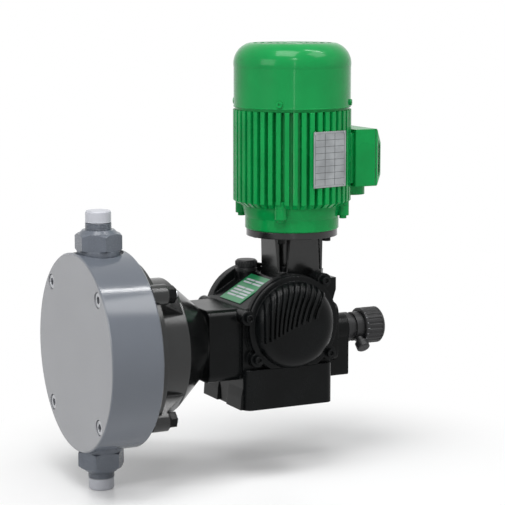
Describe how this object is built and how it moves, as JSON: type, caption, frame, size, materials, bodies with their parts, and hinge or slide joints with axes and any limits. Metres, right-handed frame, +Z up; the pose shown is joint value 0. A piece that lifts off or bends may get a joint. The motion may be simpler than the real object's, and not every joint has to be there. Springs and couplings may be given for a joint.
{
  "type": "diaphragm metering pump",
  "caption": "Motor-driven diaphragm metering pump: round plastic head with ball valves, worm gearbox with stroke knob, and an upright finned motor.",
  "frame": {"origin": "centre of the foot bolt pattern on the underside of the gearbox, straight below the eccentric shaft", "axes": "+Z up along the motor axis direction, +X from the pump head to the stroke knob, +Y to the far side of the gearbox as pictured"},
  "size_m": [0.3924, 0.225, 0.501],
  "materials": {
    "grey_pvc": "fine turned, semi-matt",
    "dark_fitting": "moulded, semi-matt",
    "white_cap": "moulded, translucent",
    "black_paint": "glossy enamel",
    "green_paint": "glossy enamel",
    "black_plastic": "moulded, semi-matt",
    "steel": "turned and ground",
    "zinc": "zinc plated",
    "bronze": "machined",
    "rubber": "moulded",
    "ptfe": "moulded",
    "ceramic": "polished",
    "copper": "wound wire, varnished",
    "aluminium": "satin",
    "plate_print": "flat print on aluminium",
    "spider": "moulded elastomer"
  },
  "bodies": {
    "housing": {"pump_head": "grey_pvc", "head_bolts": "zinc", "head_nuts": "black_paint", "discharge_valve_body": "dark_fitting", "suction_valve_body": "dark_fitting", "port_seals": "rubber", "valve_seats": "grey_pvc", "ball_cages": "grey_pvc", "diaphragm": "ptfe", "rod_bush": "bronze", "rod_seal": "rubber", "return_spring": "steel", "front_bracket": "black_paint", "bracket_screws": "black_paint", "gearbox_housing": "black_paint", "far_side_cover": "black_paint", "near_side_cover": "black_paint", "cover_screws": "black_paint", "label_plate": "plate_print", "oil_plug": "black_plastic", "gearbox_bearings": "steel", "lantern": "black_paint", "lantern_screws": "black_paint", "motor_end_shield": "green_paint", "motor_frame": "green_paint", "stator_core": "steel", "stator_windings": "copper", "motor_bearings": "steel", "motor_rear_shield": "green_paint", "fan_cover": "green_paint", "motor_screws": "green_paint", "terminal_box": "green_paint", "terminal_lid": "green_paint", "terminal_board": "black_plastic", "motor_nameplate": "aluminium", "adjuster_sleeve": "black_plastic"},
    "rotor": {"motor_shaft": "steel", "rotor_core": "steel", "cooling_fan": "black_plastic", "upper_coupling_hub": "aluminium", "coupling_spider": "spider", "lower_coupling_hub": "aluminium", "worm_shaft": "steel"},
    "wheel": {"wheel_shaft": "steel", "shaft_key": "steel", "worm_wheel": "bronze", "shaft_spacers": "steel", "eccentric_discs": "steel", "eccentric_rings": "steel"},
    "rod": {"push_rod": "steel", "crosshead": "steel", "diaphragm_insert": "steel", "backing_plate": "aluminium"},
    "discharge_ball": {"discharge_ball": "ceramic"},
    "suction_ball": {"suction_ball": "ceramic"},
    "discharge_cap": {"discharge_port_cap": "white_cap"},
    "suction_cap": {"suction_port_cap": "white_cap"},
    "spindle": {"adjuster_spindle": "steel"},
    "knob": {"stroke_knob": "black_plastic"},
    "lock": {"lock_screw": "black_plastic"}
  },
  "joints": [
    {"name": "rotor_spin", "type": "hinge", "parent": "housing", "child": "rotor", "pos_m": [0.035, 0, 0.2], "axis": [0, 0, 1], "continuous": true},
    {"name": "wheel_spin", "type": "hinge", "parent": "housing", "child": "wheel", "pos_m": [0, 0, 0.075], "axis": [0, 1, 0], "continuous": true},
    {"name": "push_rod_stroke", "type": "slide", "parent": "housing", "child": "rod", "axis": [-1, 0, 0], "range_m": [0, 0.006], "deforming": ["diaphragm", "return_spring"]},
    {"name": "discharge_ball_lift", "type": "slide", "parent": "housing", "child": "discharge_ball", "axis": [0, 0, 1], "range_m": [0, 0.004]},
    {"name": "suction_ball_lift", "type": "slide", "parent": "housing", "child": "suction_ball", "axis": [0, 0, 1], "range_m": [0, 0.004]},
    {"name": "discharge_cap_pull", "type": "slide", "parent": "housing", "child": "discharge_cap", "axis": [0, 0, 1], "range_m": [0, 0.03]},
    {"name": "suction_cap_pull", "type": "slide", "parent": "housing", "child": "suction_cap", "axis": [0, 0, -1], "range_m": [0, 0.03]},
    {"name": "spindle_travel", "type": "slide", "parent": "housing", "child": "spindle", "axis": [1, 0, 0], "range_m": [0, 0.006]},
    {"name": "stroke_knob_turn", "type": "hinge", "parent": "spindle", "child": "knob", "pos_m": [0.14, 0, 0.075], "axis": [1, 0, 0], "range_deg": [0, 720]},
    {"name": "lock_screw_turn", "type": "hinge", "parent": "housing", "child": "lock", "pos_m": [0.121, -0.0198, 0.0552], "axis": [0, 0.7071, 0.7071], "range_deg": [-180, 0]}
  ],
  "couplings": [
    {"joint": "rotor_spin", "follows": "wheel_spin", "ratio": 30},
    {"joint": "stroke_knob_turn", "follows": "spindle_travel", "rad_per_m": 2094.4}
  ]
}
